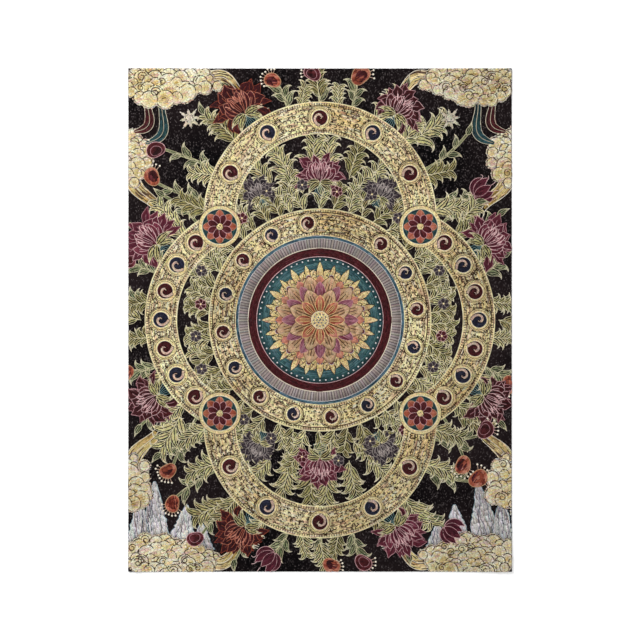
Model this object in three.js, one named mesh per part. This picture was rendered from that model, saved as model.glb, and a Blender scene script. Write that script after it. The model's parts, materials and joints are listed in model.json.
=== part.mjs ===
// A thangka panel: a cut length of close black ground cloth, worked all over with silk and gilt thread.
// It lies face up on a flat surface, with the top of its design towards +Y. The cloth and its needlework
// are one sheet. The thread has drawn it up into a few low swells, and its cut corners stand a little
// proud; everywhere else its underside is flat on the surface at z = 0.
// The origin is under the middle of the panel, on that surface. Lengths are in millimetres.
import * as THREE from "three";

// Driving sizes.
const WIDTH = 400; // across the design, along X
const LENGTH = 525; // up the design, along Y
const THICKNESS = 1.6; // the ground cloth with the thread on its two sides
const CELL = 20; // about how far apart the sheet's sections lie, both ways

// Low swells in the cloth. Each is an oval that rises smoothly from flat cloth to its middle.
const SWELLS = [
  { x: -118, y: 148, longReach: 74, shortReach: 40, turn: 28, height: 1.1 },
  { x: 126, y: 92, longReach: 82, shortReach: 44, turn: -18, height: 0.9 },
  { x: 104, y: -172, longReach: 70, shortReach: 42, turn: 40, height: 1.2 },
  { x: -132, y: -96, longReach: 66, shortReach: 46, turn: -35, height: 0.8 },
];

// How far each cut corner stands off the surface, and how far from the corner the cloth starts to rise.
const CORNERS = [
  { side: -1, end: -1, lift: 1.5, reach: 62 },
  { side: 1, end: -1, lift: 2.4, reach: 78 },
  { side: -1, end: 1, lift: 2.0, reach: 70 },
  { side: 1, end: 1, lift: 1.2, reach: 55 },
];

// The height of one swell's underside at a place on the panel.
function swellHeight(swell, x, y) {
  const turn = THREE.MathUtils.degToRad(swell.turn);
  const along = (x - swell.x) * Math.cos(turn) + (y - swell.y) * Math.sin(turn);
  const across = (y - swell.y) * Math.cos(turn) - (x - swell.x) * Math.sin(turn);
  const share = Math.hypot(along / swell.longReach, across / swell.shortReach);
  return share < 1 ? (swell.height * (1 + Math.cos(Math.PI * share))) / 2 : 0;
}

// The height of the underside near one lifted corner, which curls up ever more steeply.
function cornerHeight(corner, x, y) {
  const away = Math.hypot(
    x - (corner.side * WIDTH) / 2,
    y - (corner.end * LENGTH) / 2,
  );
  return away < corner.reach ? corner.lift * (1 - away / corner.reach) ** 2 : 0;
}

// The height of the cloth's underside above the surface it lies on.
function undersideHeight(x, y) {
  const swells = SWELLS.map((swell) => swellHeight(swell, x, y));
  const corners = CORNERS.map((corner) => cornerHeight(corner, x, y));
  return [...swells, ...corners].reduce((sum, height) => sum + height, 0);
}

// The sheet: a flat slab in square sections, lifted at each of its points.
function makePanel() {
  const geometry = new THREE.BoxGeometry(
    WIDTH,
    LENGTH,
    THICKNESS,
    Math.round(WIDTH / CELL),
    Math.round(LENGTH / CELL),
    1,
  );
  const position = geometry.getAttribute("position");
  for (let i = 0; i < position.count; i++) {
    const lift = undersideHeight(position.getX(i), position.getY(i));
    position.setZ(i, position.getZ(i) + THICKNESS / 2 + lift);
  }
  geometry.computeVertexNormals();
  const needlework = new THREE.MeshStandardMaterial({
    color: 0x7f705d,
    roughness: 0.8,
    metalness: 0,
  });
  const panel = new THREE.Mesh(geometry, needlework);
  panel.name = "embroidered_panel";
  return panel;
}

const thangka = new THREE.Group();
thangka.add(makePanel());

export default thangka;
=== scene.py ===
"""A thangka panel: a cut length of black cotton, worked all over with silk and gilt thread.

The design is drawn first, as closed shapes laid one over another on a fine chart of the cloth. Each
shape is then filled with rows of real stitches wherever it still shows, its edge is couched with a
cord, and scrolls, ribs, stamens and knots are sewn on top. Places on the cloth are complex numbers in
millimetres: the real part runs across the panel, the imaginary part up it, and 0 is the middle.
"""

import dataclasses
import functools
import json

import bpy
import numpy as np
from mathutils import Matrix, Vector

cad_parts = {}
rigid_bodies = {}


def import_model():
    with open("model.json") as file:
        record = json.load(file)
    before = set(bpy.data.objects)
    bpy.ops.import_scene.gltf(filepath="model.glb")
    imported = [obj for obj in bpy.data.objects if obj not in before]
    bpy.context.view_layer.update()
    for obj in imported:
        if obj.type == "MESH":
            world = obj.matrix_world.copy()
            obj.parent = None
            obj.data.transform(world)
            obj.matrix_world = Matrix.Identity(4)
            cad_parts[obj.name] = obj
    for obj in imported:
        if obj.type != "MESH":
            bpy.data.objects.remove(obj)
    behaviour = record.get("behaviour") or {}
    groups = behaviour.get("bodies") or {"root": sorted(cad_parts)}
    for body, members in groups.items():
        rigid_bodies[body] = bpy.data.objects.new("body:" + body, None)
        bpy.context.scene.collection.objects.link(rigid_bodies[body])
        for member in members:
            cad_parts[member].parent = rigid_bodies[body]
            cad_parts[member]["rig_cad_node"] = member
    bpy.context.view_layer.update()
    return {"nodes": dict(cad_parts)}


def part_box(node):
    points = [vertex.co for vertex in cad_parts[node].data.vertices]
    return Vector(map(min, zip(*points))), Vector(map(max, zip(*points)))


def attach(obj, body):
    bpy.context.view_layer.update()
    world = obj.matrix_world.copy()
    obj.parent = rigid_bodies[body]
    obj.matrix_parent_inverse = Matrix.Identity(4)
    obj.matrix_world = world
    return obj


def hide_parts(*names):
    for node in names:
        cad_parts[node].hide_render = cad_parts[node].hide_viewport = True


bl_info = {
    "name": "Embroidered Thangka Panel",
    "version": (1, 0, 0),
    "blender": (4, 5, 0),
    "location": "View3D > Sidebar > Thangka",
    "description": "Works a panel of black cloth in silk and gilt thread",
    "category": "Add Mesh",
}

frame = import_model()

NODE = "embroidered_panel"
BODY = "root"
MM = 0.001
LOWEST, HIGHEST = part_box(NODE)
WIDTH = (HIGHEST.x - LOWEST.x) / MM
LENGTH = (HIGHEST.y - LOWEST.y) / MM
SEED = 1959

CHART_CELL = 0.25  # the chart's squares, in millimetres
ROW_STEP = 0.3  # how far apart a row is looked at to see where its shape shows
OFF_CLOTH = complex(10000, 10000)
GOLDEN_ANGLE = 137.508  # a turn that never brings two ends side by side
SWAY_POINTS = 60
LOBE_POINTS = 1400

CLOTH_LIFT = 0.05  # the cloth's underside above the solid's, for the thread on the back
CLOTH_THICKNESS = 0.85
STITCH_SINK = 0.12  # how deep a stitch is drawn into the cloth
OVER_STITCHES = 0.3  # how far off the cloth a thread starts that is sewn over stitches

BILLOW_SPACING = 8.5  # from one billow to the next across a bank of cloud
SCROLL_SPACING = 3.9  # from one curl to the next on a gold band
TICK_SPACING = 2.6  # from one short stitch to the next along a band's border
TICK_REACH = 2.2
BOSS_SHARE = 0.5  # a boss's radius, as a share of half its band's width

# Each thread's dark, middle and light shades, as it is dyed.
THREADS = {
    "leaf": ("221b0f", "b0a66d", "ebe2aa"),
    "sage": ("23271a", "747c57", "c0c196"),
    "straw": ("a89f75", "e2d9b0", "f6f0d4"),
    "gold": ("806236", "eed290", "fdedbb"),
    "scroll": ("231407", "483016", "7c5b33"),
    "cloud": ("c8a95a", "f3e5b5", "fefae6"),
    "blush": ("b98d78", "e3c2ad", "f4e0d2"),
    "burgundy": ("2a0f11", "581e23", "84414a"),
    "plum": ("421320", "7c3345", "c08594"),
    "coral": ("651f19", "b55f47", "dfa18a"),
    "peach": ("8f6747", "c49a74", "e2c3a0"),
    "teal": ("14262a", "335a5e", "6d9396"),
    "navy": ("161622", "2a2d43", "5f6480"),
    "steel": ("223540", "4f7384", "8fa9b4"),
    "dusk": ("1e1820", "483d44", "807577"),
    "mauve": ("6d6163", "9d918c", "c6bbb6"),
    "pearl": ("a8a2a6", "d6d2d2", "f2f0ee"),
    "umber": ("4f3a2a", "846b54", "b9a488"),
    "ecru": ("b9a98a", "e3d8c0", "f4ecdc"),
    "pink": ("9a616b", "d5a3a8", "f0d2d0"),
}
SHADES = ("dark", "middle", "light")


def linear(code):
    """The linear red, green and blue of an sRGB hex colour."""
    parts = [int(code[i : i + 2], 16) / 255 for i in (0, 2, 4)]
    return tuple(p / 12.92 if p <= 0.04045 else ((p + 0.055) / 1.055) ** 2.4 for p in parts)


# ---------------------------------------------------------------- what a user may change


def length_setting(name, description, default, least):
    """A length that a user may change, in metres."""
    return bpy.props.FloatProperty(
        name=name, description=description, default=default, min=least, unit="LENGTH"
    )


def colour_setting(name, description, code):
    """A colour that a user may change, first set to an sRGB hex colour."""
    return bpy.props.FloatVectorProperty(
        name=name, description=description, default=linear(code), min=0.0, max=1.0, subtype="COLOR"
    )


class ThreadSizes(bpy.types.PropertyGroup):
    """How the threads are worked. They are drawn about twice as thick as real ones, so as to show."""

    pitch: length_setting("Row Pitch", "From one row of stitches to the next", 0.00092, 0.0004)
    stitch: length_setting("Stitch Length", "The usual length of one stitch", 0.0064, 0.002)
    height: length_setting("Stitch Height", "How far a stitch stands off the cloth", 0.00048, 0.0001)
    cord: length_setting("Edge Cord", "The width of the cord couched round a shape", 0.00115, 0.0003)


class ThreadColours(bpy.types.PropertyGroup):
    """The dyed shades of each thread."""


for thread, codes in THREADS.items():
    for shade, code in zip(SHADES, codes):
        ThreadColours.__annotations__[f"{thread}_{shade}"] = colour_setting(
            f"{thread} {shade}".title(), f"The {shade} shade of the {thread} thread", code
        )


class GroundCloth(bpy.types.PropertyGroup):
    """The cloth that everything is worked on."""

    colour: colour_setting("Cotton", "The colour of the ground cloth", "040405")
    faded: colour_setting("Faded Cotton", "Its colour where it is faded", "21191a")
    slub: colour_setting("Slubs", "The colour of the paler slubs in its yarns", "534c4c")
    spacing: length_setting("Yarn Spacing", "From one of its yarns to the next", 0.0009, 0.0002)


# ---------------------------------------------------------------- lines and outlines


def turned(degrees):
    """The direction at an angle from straight across."""
    return np.exp(1j * np.radians(degrees))


def direction(line):
    """The way a line runs at each of its points."""
    steps = np.gradient(line)
    return steps / np.maximum(np.abs(steps), 1e-9)


def resample(line, step):
    """The same line with its points about a step apart."""
    travelled = np.concatenate([[0.0], np.cumsum(np.abs(np.diff(line)))])
    count = max(2, int(travelled[-1] / step) + 1)
    at = np.linspace(0, travelled[-1], count)
    return np.interp(at, travelled, line.real) + 1j * np.interp(at, travelled, line.imag)


def closed(line):
    """A ring of points with its first point again at its end."""
    return np.append(line, line[0])


def growing_line(base, heading, length, bend=0.0, hook=1.0, count=18):
    """A line that sets off at a heading and bends on its way, mostly near its tip if hook is over 1."""
    share = np.linspace(0, 1, count)
    steps = turned(heading + bend * share**hook) * length / (count - 1)
    return base + np.concatenate([[0], np.cumsum(steps[:-1])])


def swaying_line(start, end, sway):
    """A line from one place to another that sways to one side and then to the other."""
    share = np.linspace(0, 1, SWAY_POINTS)
    return start + (end - start) * (share + 1j * sway * np.sin(2 * np.pi * share))


def arc(centre, radius, start, sweep, count):
    """Part of a circle, from a starting angle through a sweep."""
    return centre + radius * turned(start + sweep * np.linspace(0, 1, count))


def circle(centre, radius, step=0.8):
    """A whole circle."""
    count = max(12, int(2 * np.pi * radius / step))
    return centre + radius * turned(360 * np.arange(count) / count)


def ragged_circle(centre, radius, ragged, rng):
    """A circle whose edge wanders in and out a little."""
    line = circle(0, radius)
    return centre + line * (1 + rng.uniform(-ragged, ragged, len(line)) / radius)


def four_lobes(centres, radii):
    """The outline round four overlapping circles, with an inward point wherever two of them meet."""
    ways = turned(360 * np.arange(LOBE_POINTS) / LOBE_POINTS)
    reaches = []
    for centre, radius in zip(centres, radii):
        ahead = (centre * np.conj(ways)).real
        reaches.append(ahead + np.sqrt(np.maximum(radius**2 - abs(centre) ** 2 + ahead**2, 0)))
    return ways * np.max(reaches, axis=0)


def outer_crossing(centre, radius, other, reach):
    """The place furthest from the middle where two circles cross."""
    gap = abs(other - centre)
    ahead = (gap**2 + radius**2 - reach**2) / (2 * gap)
    aside = np.sqrt(radius**2 - ahead**2)
    ends = [centre + (ahead + side * aside) * (other - centre) / gap for side in (1j, -1j)]
    return max(ends, key=abs)


def leaf_halves(count, width, fullest, sharp):
    """How far a leaf or petal reaches to each side of its spine."""
    share = np.linspace(0, 1, count) ** (np.log(0.5) / np.log(fullest))
    return width / 2 * np.sin(np.pi * share) ** sharp


def leaf_outline(spine, halves):
    """The outline of a leaf or petal round its spine."""
    side = 1j * direction(spine)
    return np.concatenate([spine + side * halves, (spine - side * halves)[::-1]])


# ---------------------------------------------------------------- rows of thread in a shape


def rows_beside(spine, halves, pitch):
    """Rows that run along a spine, each as long as the shape is wide enough to hold it."""
    fine = resample(spine, ROW_STEP)
    room = np.interp(np.linspace(0, 1, len(fine)), np.linspace(0, 1, len(halves)), halves)
    side = 1j * direction(fine)
    most = int(np.max(halves) / pitch)
    return {
        k: np.where(abs(k) * pitch <= room + ROW_STEP, fine + side * k * pitch, OFF_CLOTH)
        for k in range(-most, most + 1)
    }


def straight_rows(outline, angle, pitch):
    """Parallel rows right across an outline."""
    along = turned(angle)
    flat = outline / along
    places = np.arange(flat.real.min(), flat.real.max() + ROW_STEP, ROW_STEP)
    first, last = int(flat.imag.min() // pitch), int(flat.imag.max() // pitch) + 1
    return {k: (places + 1j * k * pitch) * along for k in range(first, last + 1)}


def round_rows(centre, radius, pitch):
    """Rings of thread, one outside another."""
    rings = [closed(circle(0, reach, ROW_STEP)) for reach in np.arange(pitch / 2, radius, pitch)]
    return {k: centre + ring * turned(GOLDEN_ANGLE * k) for k, ring in enumerate(rings)}


def ray_rows(inner, outer, pitch):
    """Rows that run outwards all round the middle of the cloth."""
    reach = np.arange(inner, outer, ROW_STEP)
    count = int(np.pi * (inner + outer) / pitch)
    return {k: reach * turned(360 * k / count) for k in range(count)}


# ---------------------------------------------------------------- how a thread's shade changes


def uneven(even, spread):
    """A shade with the small changes from stitch to stitch of hand-dyed thread."""
    return lambda places, rows, rng: even(places, rows) + rng.normal(0, spread, len(places))


def flat_shade(value, spread=0.12):
    """One shade all over."""
    return uneven(lambda places, rows: value, spread)


def shade_along(base, tip, start, end):
    """A shade that changes from the base of a petal to its tip."""

    def even(places, rows):
        share = ((places - base) / (tip - base)).real
        return start + (end - start) * np.clip(share, 0, 1)

    return uneven(even, 0.1)


def veined_shade(spine, halves, pitch, light):
    """Dark along the middle vein and just inside the cord, and pale between them."""

    def even(places, rows):
        at = np.argmin(np.abs(places[:, None] - spine), axis=1)
        gap = halves[at] - np.abs(rows) * pitch
        dark = (rows == 0) | ((gap < 1.6 * pitch) & (np.abs(rows) > 1))
        return np.where(dark, 0.0, light * (0.75 + 0.45 * at / len(spine)))

    return uneven(even, 0.07)


def belt_shade(reach, width, light, spread):
    """Lightest along a ring round the middle of the cloth, and darker to either side of it."""
    return uneven(
        lambda places, rows: light * np.exp(-(((np.abs(places) - reach) / width) ** 2)), spread
    )


def striped_shade(light, dark):
    """One dark row to two lighter ones."""
    return uneven(lambda places, rows: np.where(rows % 3 == 0, dark, light), 0.08)


def drift(places, patch, phase=0.0):
    """A number from -1 to 1 that drifts over the cloth in soft patches."""
    u, v = places.real / patch + 5 * phase, places.imag / patch - 3 * phase
    return np.sin(2.3 * u + 1.7 * np.sin(1.9 * v)) * np.cos(2.1 * v + 1.3 * np.sin(2.7 * u))


def patchy_shade(value, depth, patch, spread):
    """A shade that drifts, as where one hank of thread gave way to another."""
    return uneven(lambda places, rows: value + depth * drift(places, patch), spread)


# ---------------------------------------------------------------- the chart


@dataclasses.dataclass
class Shape:
    """One closed area of the design and how it is filled."""

    piece: str
    outlines: list
    rows: dict
    thread: str
    shade: object
    stitch: float = 1.0  # the length of its stitches, as a share of the usual one
    raised: float = 0.0  # padding under its stitches, in millimetres
    edge: str = ""  # the thread of the cord round it, if it has one
    edge_shade: float = 0.5
    edge_width: float = 1.0  # the width of that cord, as a share of the usual one
    mixed: tuple = ()  # other threads worked in among the first, in patches
    mix: float = 0.0  # how much of each
    joined: bool = False  # whether outlines that overlap make one mass


@dataclasses.dataclass
class Line:
    """A thread sewn down along a line, over what is drawn already."""

    places: np.ndarray
    thread: str
    shade: float
    width: float
    drawn_after: int
    raised: float


@dataclasses.dataclass
class Knot:
    """A round knot on the surface."""

    place: complex
    radius: float
    thread: str
    shade: float
    drawn_after: int


class Chart:
    """The face of the cloth in small squares, with the number of the shape that shows in each."""

    def __init__(self):
        self.columns = round(WIDTH / CHART_CELL)
        self.rows = round(LENGTH / CHART_CELL)
        self.shown = np.zeros((self.rows, self.columns), np.int32)
        self.shapes = [None]
        self.lines = []
        self.knots = []

    def squares(self, places):
        """The column and row of each place."""
        column = np.floor((places.real + WIDTH / 2) / CHART_CELL).astype(int)
        row = np.floor((places.imag + LENGTH / 2) / CHART_CELL).astype(int)
        return column, row

    def look(self, places):
        """The number of the shape that shows at each place: 0 on bare cloth, -1 off the cloth."""
        column, row = self.squares(places)
        on = (column >= 0) & (column < self.columns) & (row >= 0) & (row < self.rows)
        found = self.shown[np.where(on, row, 0), np.where(on, column, 0)]
        return np.where(on, found, -1)

    def draw(self, shape):
        """Lay a shape over what is drawn already. Holes come from an outline inside another."""
        number = len(self.shapes)
        self.shapes.append(shape)
        every = np.concatenate(shape.outlines)
        first = every.real.min() + 1j * every.imag.min()
        last = every.real.max() + 1j * every.imag.max()
        column, row = self.squares(np.array([first, last]))
        left, right = np.clip([column[0], column[1] + 1], 0, self.columns)
        low, high = np.clip([row[0], row[1] + 1], 0, self.rows)
        if right <= left or high <= low:
            return
        heights = (np.arange(low, high) + 0.5) * CHART_CELL - LENGTH / 2
        inside = np.zeros((high - low, right - left), bool)
        for outline in shape.outlines:
            start, end = outline, np.roll(outline, -1)
            bottom, top = np.minimum(start.imag, end.imag), np.maximum(start.imag, end.imag)
            at, side = np.nonzero((heights[:, None] >= bottom) & (heights[:, None] < top))
            climb = (heights[at] - start.imag[side]) / (end.imag - start.imag)[side]
            across = start.real[side] + climb * (end.real - start.real)[side]
            square = np.ceil((across + WIDTH / 2) / CHART_CELL - 0.5).astype(int) - left
            crossings = np.zeros((high - low, right - left + 1), np.int32)
            np.add.at(crossings, (at, np.clip(square, 0, right - left)), 1)
            within = np.cumsum(crossings[:, :-1], axis=1) % 2 == 1
            inside = inside | within if shape.joined else inside ^ within
        self.shown[low:high, left:right][inside] = number

    def sew_line(self, places, thread, shade, width, raised=0.0):
        """Sew a thread along a line."""
        self.lines.append(Line(places, thread, shade, width, len(self.shapes) - 1, raised))

    def tie_knot(self, place, radius, thread, shade=0.6):
        """Tie a knot at a place."""
        self.knots.append(Knot(place, radius, thread, shade, len(self.shapes) - 1))


# ---------------------------------------------------------------- motifs


def pitch_mm():
    """The row pitch in millimetres."""
    return bpy.context.scene.thangka_sizes.pitch / MM


def draw_blade(chart, spine, halves, piece, thread, shade, **finish):
    """A shape round a spine, filled with rows that follow the spine."""
    rows = rows_beside(spine, halves, pitch_mm())
    chart.draw(Shape(piece, [leaf_outline(spine, halves)], rows, thread, shade, **finish))


def draw_disc(chart, centre, radius, piece, thread, shade, **finish):
    """A disc, filled with rings of thread."""
    rows = round_rows(centre, radius, pitch_mm())
    chart.draw(Shape(piece, [circle(centre, radius)], rows, thread, shade, **finish))


def draw_leaf(chart, spine, width, light=0.75, thread="leaf", piece="leaves"):
    """One leaf: rows along its spine with dark veins, and a pale cord round it, paler at its tip."""
    halves = leaf_halves(len(spine), width, 0.34, 1.3)
    shade = veined_shade(spine, halves, pitch_mm(), light)
    draw_blade(chart, spine, halves, piece, thread, shade, stitch=0.55, edge="straw",
               edge_shade=0.25 + 0.45 * light, edge_width=0.58)
    chart.sew_line(spine[-6:], "ecru", 0.25 + 0.4 * light, 0.6, OVER_STITCHES)


def draw_plume(chart, base, heading, length, bend, pairs, rng, piece="leaves"):
    """A plume of leaves: they hook outwards from both sides of a rib, the lower ones in front."""
    rib = growing_line(base, heading, length, bend, count=24)
    ways = np.degrees(np.angle(direction(rib)))
    light = rng.uniform(0.5, 1.2)
    # Each leaf's place on the rib, its reach, its lean and its side.
    leaves = [(0.68, 0.34, 0, rng.choice([-1, 1]))]
    for step in range(2 * pairs - 1, -1, -1):
        share = (step + 0.4) / (2 * pairs + 1)
        leaves.append((share, 0.54 - 0.2 * share, rng.uniform(16, 38), step % 2 * 2 - 1))
    for share, reach, lean, side in leaves:
        place = int(share * (len(rib) - 1))
        reach *= length * rng.uniform(0.95, 1.25)
        hook = side * rng.uniform(90, 165)
        spine = growing_line(rib[place], ways[place] + side * lean, reach, hook, 3.0, 22)
        draw_leaf(chart, spine, 2.2 + reach * 0.24, light, piece=piece)
    chart.sew_line(rib[:17], "straw", 0.6, 0.6, OVER_STITCHES)


def draw_stalk(chart, base, heading, length, bend, rng):
    """A grey-green stalk with pale lines and four leaves. Returns its tip and its way there."""
    stalk = growing_line(base, heading, length, bend, count=24)
    ways = np.degrees(np.angle(direction(stalk)))
    side = 1.15j * direction(stalk)
    draw_blade(chart, stalk, np.full(len(stalk), 1.2), "leaves", "sage", flat_shade(0.5))
    for j in range(4):
        place = int((0.25 + 0.6 * j / 4) * (len(stalk) - 1))
        turn = 1 if j % 2 else -1
        reach = rng.uniform(15, 21)
        hook = turn * rng.uniform(60, 130)
        spine = growing_line(stalk[place], ways[place] + turn * 30, reach, hook, 3)
        draw_leaf(chart, spine, reach * 0.38, rng.uniform(0.6, 1.0), "sage")
    for line in (stalk + side, stalk, stalk - side):
        chart.sew_line(line, "straw", 0.4, 0.52)
    return stalk[-1], ways[-1]


def draw_petal(chart, base, heading, length, width, thread, bend=0.0, *, start=0.1, end, sharp,
               fullest=0.55, ruffle=0.0, streaks=1, edge="pink", edge_shade=0.55, piece="flowers"):
    """One petal, shaded from its base to its tip, with a pale cord round it and pale streaks up it."""
    spine = growing_line(base, heading, length, bend, 1.6, 21)
    halves = leaf_halves(len(spine), width, fullest, sharp)
    halves *= 1 + ruffle * np.sin(np.linspace(0, 6 * np.pi, len(spine)))
    shade = shade_along(spine[0], spine[-1], start, end)
    draw_blade(chart, spine, halves, piece, thread, shade, raised=0.12, edge=edge,
               edge_shade=edge_shade, edge_width=0.65)
    for share in (np.arange(streaks) - (streaks - 1) / 2) * 1.1 / max(streaks, 1):
        line = spine + 1j * direction(spine) * halves * share
        chart.sew_line(line[4:16], edge, 0.8 * edge_shade, 0.5, 0.4)


# Each ring of dark petals behind a peony, from the back one.
PEONY_RINGS = (
    # count, reach and breadth as shares of the size, fan in degrees, shade of the edge
    (12, 0.64, 0.16, 118, 0.3),
    (8, 0.56, 0.19, 84, 0.6),
)


def draw_peony(chart, heart, heading, size, threads, rng):
    """A peony seen from the side: dark petals curling behind a full cup of streaked ones."""
    back, cup, edge = threads
    way = turned(heading)
    for lean in np.linspace(-36, 36, 6):
        root = heart + 0.03 * size * lean / 36 * 1j * way
        sepal = growing_line(root, heading + 180 + lean, size * 0.42, -lean * 0.6)
        chart.sew_line(sepal, "teal", 1.0, 0.5)
    for count, reach, breadth, fan, rim in PEONY_RINGS:
        for j in sorted(range(count), key=lambda j: -abs(j - (count - 1) / 2)):
            lean = fan * (2 * j / (count - 1) - 1)
            length = size * reach * rng.uniform(0.8, 1.12)
            width = size * breadth * rng.uniform(0.8, 1.35)
            bend = lean * 0.35 + rng.uniform(-60, 60)
            draw_petal(chart, heart + 0.08 * size * way, heading + lean, length, width, back, bend,
                       start=0.0, end=0.3, edge=edge, edge_shade=rim * rng.uniform(0.6, 1.3),
                       sharp=0.95, ruffle=0.2)
    for lean in (-58, 58, -36, 36, -15, 15):
        length = size * rng.uniform(0.42, 0.52)
        bend = -lean * rng.uniform(0.5, 0.9)
        draw_petal(chart, heart - 0.06 * size * way, heading + lean, length, size * 0.22, cup, bend,
                   start=0.0, end=0.55, edge=edge, edge_shade=0.8, sharp=0.7, streaks=3)
    for lean in np.linspace(-52, 52, 15) + rng.uniform(-4, 4, 15):
        root = heart + size * rng.uniform(0.2, 0.3) * turned(heading + lean * 0.8)
        length = size * rng.uniform(0.1, 0.2)
        stroke = growing_line(root, heading + lean * 0.5, length, rng.uniform(-60, 60), count=8)
        chart.sew_line(stroke, edge, rng.uniform(0.6, 1.0), 0.65, 0.45)
    for lean in (-118, -88, 88, 118):
        root = heart - 0.05 * size * way
        draw_leaf(chart, growing_line(root, heading + lean, size * 0.42, lean * 0.6, 2), size * 0.15)


def draw_bud(chart, base, heading, size, threads, rng):
    """A full cup of a flower leaning over on its stalk, with a spread of pearly stamens."""
    thread, edge, patches = threads
    turn = rng.choice([-1, 1])
    way = turned(heading + 22 * turn)
    middle = base + size * 0.36 * way
    for lean in np.linspace(-62, 62, 9):
        reach = size * rng.uniform(0.5, 0.6)
        stamen = growing_line(middle, heading + 30 * turn + lean, reach, lean * 0.2)
        chart.sew_line(stamen, "blush", 0.5, 0.42)
        chart.tie_knot(stamen[-1], 1.15, "ecru", 0.8)
    around = np.radians(360 * np.arange(40) / 40)
    cup = 1 + 0.1 * np.cos(2 * around) - 0.05 * np.cos(3 * around) + 0.07 * turn * np.sin(2 * around)
    cup = cup * np.exp(1j * around) * way
    for filling, value, share, shift, mixed, border in (
        (thread, 0.55, 0.37, 0.0, (), edge),
        ("burgundy", 0.3, 0.23, 0.05, (thread,) * patches, "" if patches else edge),
    ):
        outline = middle - size * shift * turned(heading - 50 * turn) + size * share * cup
        rows = straight_rows(outline, heading + 60 * turn, pitch_mm())
        shade = patchy_shade(value, 0.4, size * 0.25, 0.1)
        chart.draw(Shape("flowers", [outline], rows, filling, shade, stitch=0.7, raised=0.3 - share / 2,
                         edge=border, edge_shade=2 * share - 0.2, edge_width=0.6 + share / 2,
                         mixed=mixed, mix=0.5))


def draw_tulip(chart, base, heading, size, rng):
    """A tulip on a stalk: a cup of broad dark petals, each with a pale curl at its tip."""
    for lean in (-64, 64, -34, 34, 0):
        draw_petal(chart, base, heading + lean, size * rng.uniform(0.85, 1.05), size * 0.4, "plum",
                   -1.2 * lean, start=0.0, end=0.25, fullest=0.45, sharp=0.9, streaks=0,
                   edge_shade=0.6)
        tip = growing_line(base, heading + lean, size * 0.9, -1.2 * lean, 1.6, 21)[-1]
        curl = growing_line(tip, heading - 0.2 * lean, size * 0.25, 2.5 * lean + 20, count=8)
        chart.sew_line(curl, "pink", 0.9, 0.55, OVER_STITCHES)


def draw_blossom(chart, heart, size, thread, edge, rng):
    """A small open blossom of six petals, seen from above."""
    first = rng.uniform(0, 360)
    for j in range(6):
        draw_petal(chart, heart, first + 60 * j, size * 0.5, size * 0.4, thread, end=0.6, fullest=0.6,
                   sharp=0.6, streaks=0, edge=edge)
    chart.tie_knot(heart, size * 0.1, "gold", 0.8)


def draw_star(chart, heart, size):
    """A star of eight points, in pale silk."""
    for j in range(8):
        spine = growing_line(heart, 45 * j + 10, size * (0.5 if j % 2 else 0.42), count=8)
        halves = np.linspace(size * 0.14, 0.3, len(spine))
        draw_blade(chart, spine, halves, "clouds", "ecru", flat_shade(0.6), stitch=2.0)
    draw_disc(chart, heart, size * 0.17, "clouds", "ecru", flat_shade(0.7), stitch=0.5)


def billows_along(spine, halves, rng):
    """The centres and radii of the billows that fill a bank of cloud, from its top down."""
    side = 1j * direction(spine)
    centres, radii = [], []
    for place, out, half in zip(spine, side, halves):
        count = max(1, round(2 * half / BILLOW_SPACING))
        for j in range(count):
            offset = half * ((2 * j + 1) / count - 1) + rng.uniform(-2, 2)
            centres.append(place + out * offset + rng.uniform(-2.5, 2.5))
            radii.append(rng.uniform(4.6, 9.6) * (0.55 + 0.45 * half / halves.max()))
    order = np.argsort(-np.imag(centres))
    return np.array(centres)[order], np.array(radii)[order]


def billow_shade(centres, radii):
    """Deep at the heart of each billow and pale round it, in drifting patches."""

    def even(places, rows):
        inside = np.abs(places[:, None] - centres) < radii
        front = len(centres) - 1 - np.argmax(inside[:, ::-1], axis=1)
        reach = np.clip(np.abs(places - centres[front]) / radii[front], 0, 1)
        return 0.34 + 0.64 * reach**1.5 + 0.24 * drift(places, 30)

    return uneven(even, 0.09)


def draw_cloud(chart, spine, width, rng):
    """A bank of billows: one mottled mass with a pale rim, and dark lines sewn over it."""
    centres, radii = billows_along(spine, leaf_halves(len(spine), width, 0.45, 0.55), rng)
    outlines = [circle(centre, radius) for centre, radius in zip(centres, radii)]
    rims = [ragged_circle(centre, radius + 1.4, 0.7, rng) for centre, radius in zip(centres, radii)]
    every = np.concatenate(rims)
    for loops, thread, shade, edge, mixed in (
        (rims, "ecru", flat_shade(0.5), "", ("pearl", "blush")),
        (outlines, "cloud", billow_shade(centres, radii), "umber", ("gold", "blush")),
    ):
        rows = straight_rows(every, 14, pitch_mm())
        chart.draw(Shape("clouds", loops, rows, thread, shade, mixed=mixed, mix=0.16, edge=edge,
                         edge_shade=0.5, edge_width=0.5, joined=True, stitch=0.55))
    for j, (centre, radius) in enumerate(zip(centres, radii)):
        line = arc(centre, radius, rng.uniform(-40, 20), rng.uniform(150, 230), 30)
        shows = ~(np.abs(line[:, None] - centres[j + 1 :]) < radii[j + 1 :]).any(axis=1)
        shows &= np.arange(len(line)) % rng.integers(7, 16) > 0
        if rng.random() < 0.85:
            for start, end in zip(*runs_of(shows, np.zeros(len(line)))):
                if end - start > 1:
                    chart.sew_line(line[start : end + 1], "scroll", rng.uniform(0.0, 0.7), 0.72, 0.36)
        if radius > 6 and rng.random() < 0.2:
            share = np.linspace(0, 1, 20)
            way = rng.choice([-1, 1])
            spin = turned(90 + way * (450 * share - 60))
            curl = centre + 0.2j * radius + radius * (0.62 - 0.45 * share) * spin
            chart.sew_line(curl, "scroll", rng.uniform(0.0, 0.7), 0.7, 0.36)


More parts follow.
